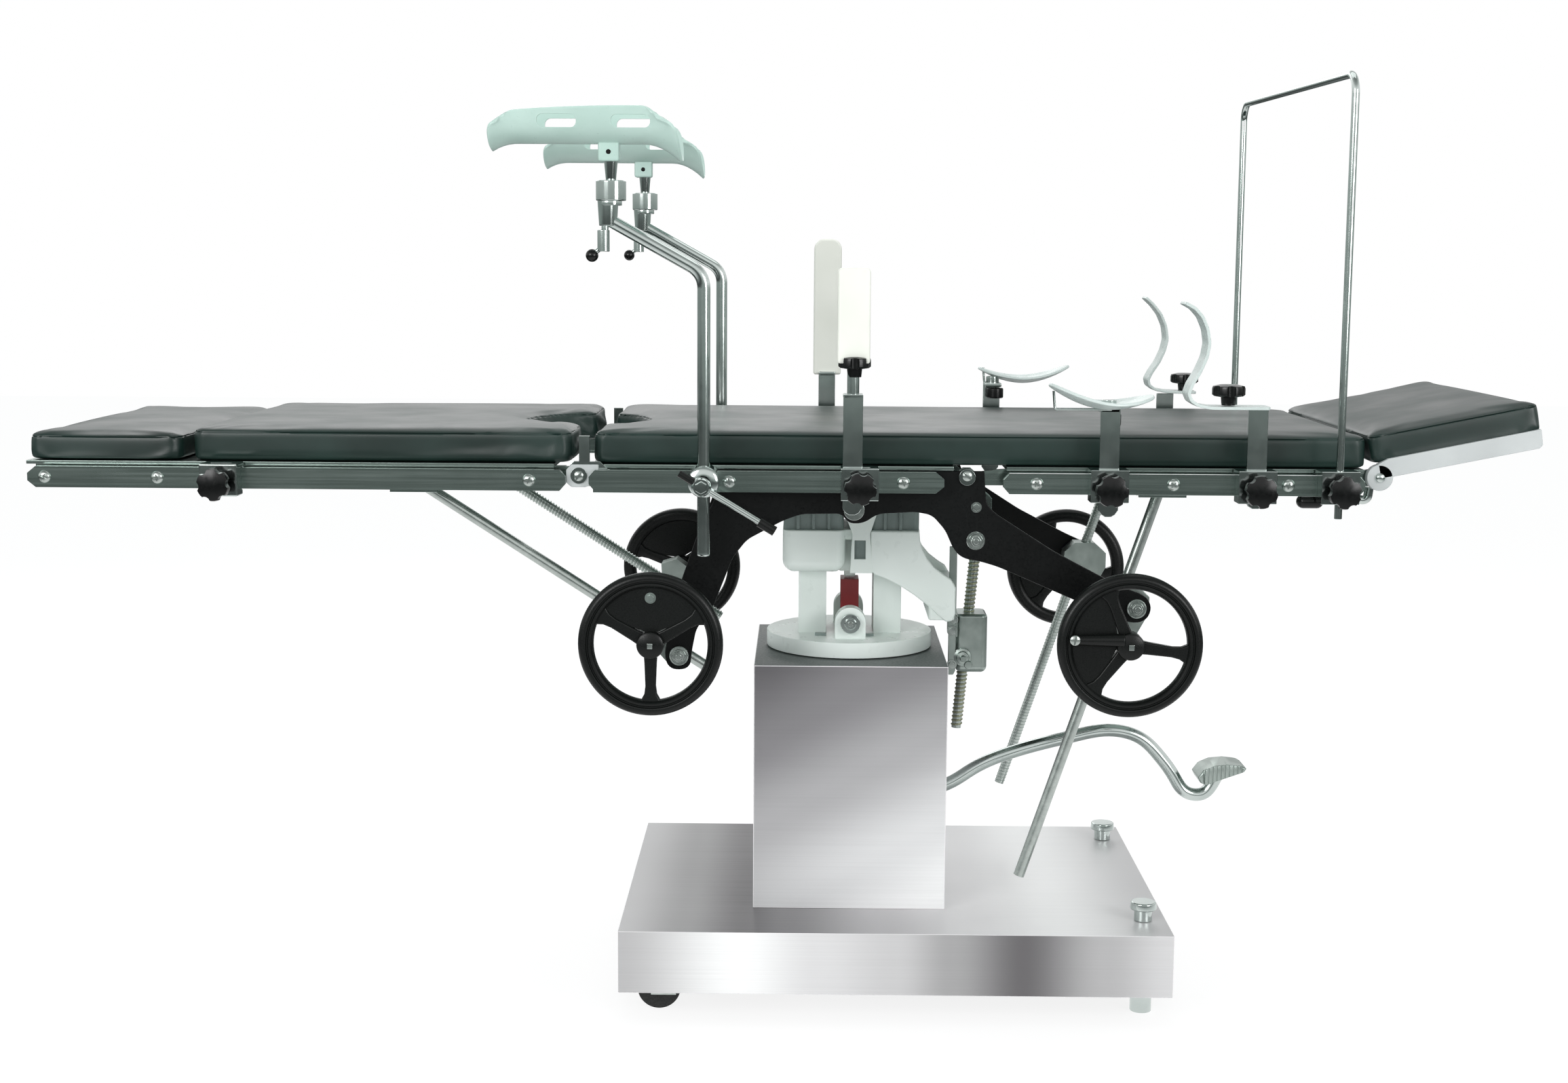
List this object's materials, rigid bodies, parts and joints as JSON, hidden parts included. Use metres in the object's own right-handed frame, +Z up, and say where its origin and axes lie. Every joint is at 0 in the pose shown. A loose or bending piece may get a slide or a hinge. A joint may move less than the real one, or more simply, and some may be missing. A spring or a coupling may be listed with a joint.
{
  "type": "operating table",
  "caption": "Manual hydraulic operating table with jointed padded top, handwheel-driven back and leg sections, side rails, leg crutches, arm dishes and a screen frame.",
  "frame": {"origin": "on the floor under the middle of the table's outline", "axes": "+X along the table towards the head end, +Y to the side away from the drive handwheels in the picture's foreground, +Z up"},
  "size_m": [2.0244, 0.72, 1.282],
  "materials": {
    "stainless": "brushed",
    "chrome": "polished",
    "black_leatherette": "soft sheen",
    "black_paint": "semi-gloss",
    "white_enamel": "gloss",
    "grey_enamel": "gloss",
    "cast_black": "black enamel",
    "machined_steel": "turned",
    "red_paint": "satin",
    "black_rubber": "matte",
    "black_plastic": "moulded",
    "white_plastic": "moulded"
  },
  "bodies": {
    "base": {"base_cover": "stainless", "base_frame": "black_paint", "column_cover": "stainless", "hydraulic_unit": "machined_steel"},
    "caster_fork_near": {"caster_fork_near": "machined_steel"},
    "caster_fork_far": {"caster_fork_far": "machined_steel"},
    "caster_wheel_near": {"caster_wheel_near": "black_rubber"},
    "caster_wheel_far": {"caster_wheel_far": "black_rubber"},
    "foot_near": {"levelling_foot_near": "chrome"},
    "foot_far": {"levelling_foot_far": "chrome"},
    "pedal": {"pedal_lever": "chrome", "pedal_tread": "black_rubber"},
    "lift": {"piston_ram": "chrome", "pedestal_yoke": "white_enamel"},
    "saddle": {"saddle_casting": "white_enamel", "saddle_housings": "grey_enamel", "tilt_gear_housing": "white_enamel"},
    "lateral_spindle": {"lateral_spindle": "chrome"},
    "lateral_nut": {"lateral_nut": "red_paint"},
    "tilt_screw": {"tilt_screw": "machined_steel"},
    "frame": {"side_plates": "black_paint", "trunnion_shaft": "machined_steel", "seat_deck": "stainless", "seat_pad": "black_leatherette", "seat_rails": "stainless", "hinge_pivots": "chrome", "seat_clamps": "chrome", "seat_knobs": "black_plastic"},
    "leg": {"leg_deck": "stainless", "leg_pad": "black_leatherette", "foot_pad": "black_leatherette", "leg_rails": "stainless", "leg_clamp": "chrome", "leg_knob": "black_plastic"},
    "back": {"back_deck": "stainless", "back_pad": "black_leatherette", "back_rails": "stainless", "back_clamps": "chrome", "back_knobs": "black_plastic"},
    "head": {"head_frame": "grey_enamel", "head_pad": "black_leatherette"},
    "leg_boxes": {"leg_gearboxes": "grey_enamel"},
    "leg_screws": {"leg_screws": "machined_steel"},
    "leg_wheels": {"leg_handwheels": "cast_black"},
    "back_boxes": {"back_gearboxes": "grey_enamel"},
    "back_screws": {"back_screws": "machined_steel"},
    "back_wheels": {"back_handwheels": "cast_black"},
    "post_near": {"crutch_post_near": "chrome"},
    "shell_near": {"crutch_shell_near": "white_plastic"},
    "handle_near": {"crutch_handle_near": "chrome"},
    "brace_near": {"side_brace_near": "white_plastic"},
    "dish_near": {"arm_dish_near": "white_plastic"},
    "rest_near": {"shoulder_rest_near": "white_plastic"},
    "post_far": {"crutch_post_far": "chrome"},
    "shell_far": {"crutch_shell_far": "white_plastic"},
    "handle_far": {"crutch_handle_far": "chrome"},
    "brace_far": {"side_brace_far": "white_plastic"},
    "dish_far": {"arm_dish_far": "white_plastic"},
    "rest_far": {"shoulder_rest_far": "white_plastic"},
    "screen": {"screen_frame": "chrome"}
  },
  "joints": [
    {"name": "lift", "type": "slide", "parent": "base", "child": "lift", "axis": [0, 0, 1], "range_m": [0, 0.25]},
    {"name": "lateral_tilt", "type": "hinge", "parent": "lift", "child": "saddle", "pos_m": [0, 0, 0.61], "axis": [1, 0, 0], "range_deg": [-20, 20]},
    {"name": "trend_tilt", "type": "hinge", "parent": "saddle", "child": "frame", "pos_m": [0.1, 0, 0.705], "axis": [0, 1, 0], "range_deg": [-20, 20]},
    {"name": "back_hinge", "type": "hinge", "parent": "frame", "child": "back", "pos_m": [0.25, 0, 0.7505], "axis": [0, -1, 0], "range_deg": [-15, 75], "deforming": ["back_pad"]},
    {"name": "leg_hinge", "type": "hinge", "parent": "frame", "child": "leg", "pos_m": [-0.266, 0, 0.7505], "axis": [0, -1, 0], "range_deg": [-15, 90]},
    {"name": "head_hinge", "type": "hinge", "parent": "back", "child": "head", "pos_m": [0.797, 0, 0.754], "axis": [0, -1, 0], "range_deg": [-101.5, 33.5], "deforming": ["head_pad"]},
    {"name": "tilt_screw_slide", "type": "slide", "parent": "saddle", "child": "tilt_screw", "axis": [0.0885, 0, 0.9961], "range_m": [-0.066, 0.066]},
    {"name": "lateral_spindle_turn", "type": "hinge", "parent": "lift", "child": "lateral_spindle", "pos_m": [0.1, 0, 0.524], "axis": [0, 1, 0], "range_deg": [-245, 245]},
    {"name": "lateral_nut_slide", "type": "slide", "parent": "lift", "child": "lateral_nut", "axis": [0, 1, 0], "range_m": [-0.0122, 0.0122]},
    {"name": "leg_box_turn", "type": "hinge", "parent": "frame", "child": "leg_boxes", "pos_m": [-0.134, 0, 0.506], "axis": [0, -1, 0], "range_deg": [-5.71, 33.23]},
    {"name": "leg_screw_slide", "type": "slide", "parent": "leg_boxes", "child": "leg_screws", "axis": [-0.8406, 0, 0.5417], "range_m": [-0.2983, 0.05]},
    {"name": "leg_wheel_turn", "type": "hinge", "parent": "leg_boxes", "child": "leg_wheels", "pos_m": [-0.165, 0, 0.54], "axis": [0, -1, 0], "range_deg": [-271, 1621]},
    {"name": "back_box_turn", "type": "hinge", "parent": "frame", "child": "back_boxes", "pos_m": [0.48, 0, 0.575], "axis": [0, -1, 0], "range_deg": [-7.23, 35.33]},
    {"name": "back_screw_slide", "type": "slide", "parent": "back_boxes", "child": "back_screws", "axis": [0.3143, 0, 0.9493], "range_m": [-0.0601, 0.2993]},
    {"name": "back_wheel_turn", "type": "hinge", "parent": "back_boxes", "child": "back_wheels", "pos_m": [0.457, 0, 0.543], "axis": [0, -1, 0], "range_deg": [-271, 1351]},
    {"name": "pedal_press", "type": "hinge", "parent": "base", "child": "pedal", "pos_m": [0.205, 0, 0.258], "axis": [0, 1, 0], "range_deg": [0, 15], "stiffness_Nm_per_rad": 20, "springref_deg": -22.92},
    {"name": "caster_swivel_near", "type": "hinge", "parent": "base", "child": "caster_fork_near", "pos_m": [-0.15, -0.205, 0.1], "axis": [0, 0, 1], "continuous": true},
    {"name": "caster_roll_near", "type": "hinge", "parent": "caster_fork_near", "child": "caster_wheel_near", "pos_m": [-0.164, -0.205, 0.03], "axis": [0, 1, 0], "continuous": true},
    {"name": "foot_screw_near", "type": "slide", "parent": "base", "child": "foot_near", "axis": [0, 0, 1], "range_m": [0, 0.018]},
    {"name": "crutch_post_slide_near", "type": "slide", "parent": "frame", "child": "post_near", "axis": [0, 0, 1], "range_m": [-0.15, 0.06]},
    {"name": "crutch_shell_tilt_near", "type": "hinge", "parent": "post_near", "child": "shell_near", "pos_m": [-0.221, -0.287, 1.172], "axis": [0, 1, 0], "range_deg": [-30, 30]},
    {"name": "crutch_handle_turn_near", "type": "hinge", "parent": "frame", "child": "handle_near", "pos_m": [-0.099, -0.307, 0.747], "axis": [0, -1, 0], "range_deg": [-90, 90]},
    {"name": "brace_slide_near", "type": "slide", "parent": "frame", "child": "brace_near", "axis": [0, 0, 1], "range_m": [-0.06, 0.018]},
    {"name": "dish_slide_near", "type": "slide", "parent": "back", "child": "dish_near", "axis": [0, 0, 1], "range_m": [-0.025, 0.018]},
    {"name": "rest_slide_near", "type": "slide", "parent": "back", "child": "rest_near", "axis": [0, 0, 1], "range_m": [-0.05, 0.006]},
    {"name": "caster_swivel_far", "type": "hinge", "parent": "base", "child": "caster_fork_far", "pos_m": [-0.15, 0.205, 0.1], "axis": [0, 0, 1], "continuous": true},
    {"name": "caster_roll_far", "type": "hinge", "parent": "caster_fork_far", "child": "caster_wheel_far", "pos_m": [-0.164, 0.205, 0.03], "axis": [0, 1, 0], "continuous": true},
    {"name": "foot_screw_far", "type": "slide", "parent": "base", "child": "foot_far", "axis": [0, 0, 1], "range_m": [0, 0.018]},
    {"name": "crutch_post_slide_far", "type": "slide", "parent": "frame", "child": "post_far", "axis": [0, 0, 1], "range_m": [-0.15, 0.06]},
    {"name": "crutch_shell_tilt_far", "type": "hinge", "parent": "post_far", "child": "shell_far", "pos_m": [-0.221, 0.287, 1.172], "axis": [0, 1, 0], "range_deg": [-30, 30]},
    {"name": "crutch_handle_turn_far", "type": "hinge", "parent": "frame", "child": "handle_far", "pos_m": [-0.099, 0.307, 0.747], "axis": [0, -1, 0], "range_deg": [-90, 90]},
    {"name": "brace_slide_far", "type": "slide", "parent": "frame", "child": "brace_far", "axis": [0, 0, 1], "range_m": [-0.06, 0.018]},
    {"name": "dish_slide_far", "type": "slide", "parent": "back", "child": "dish_far", "axis": [0, 0, 1], "range_m": [-0.025, 0.018]},
    {"name": "rest_slide_far", "type": "slide", "parent": "back", "child": "rest_far", "axis": [0, 0, 1], "range_m": [-0.05, 0.006]},
    {"name": "screen_slide", "type": "slide", "parent": "back", "child": "screen", "axis": [0, 0, 1], "range_m": [-0.15, 0.018]}
  ],
  "couplings": [
    {"joint": "tilt_screw_slide", "follows": "trend_tilt", "m_per_rad": -0.1856},
    {"joint": "lateral_spindle_turn", "follows": "lateral_tilt", "ratio": 12},
    {"joint": "lateral_nut_slide", "follows": "lateral_tilt", "m_per_rad": 0.034},
    {"joint": "leg_box_turn", "follows": "leg_hinge", "ratio": 0.367},
    {"joint": "leg_screw_slide", "follows": "leg_hinge", "m_per_rad": -0.18969},
    {"joint": "leg_wheel_turn", "follows": "leg_hinge", "ratio": 18},
    {"joint": "back_box_turn", "follows": "back_hinge", "ratio": 0.4684},
    {"joint": "back_screw_slide", "follows": "back_hinge", "m_per_rad": 0.22845},
    {"joint": "back_wheel_turn", "follows": "back_hinge", "ratio": 18}
  ]
}
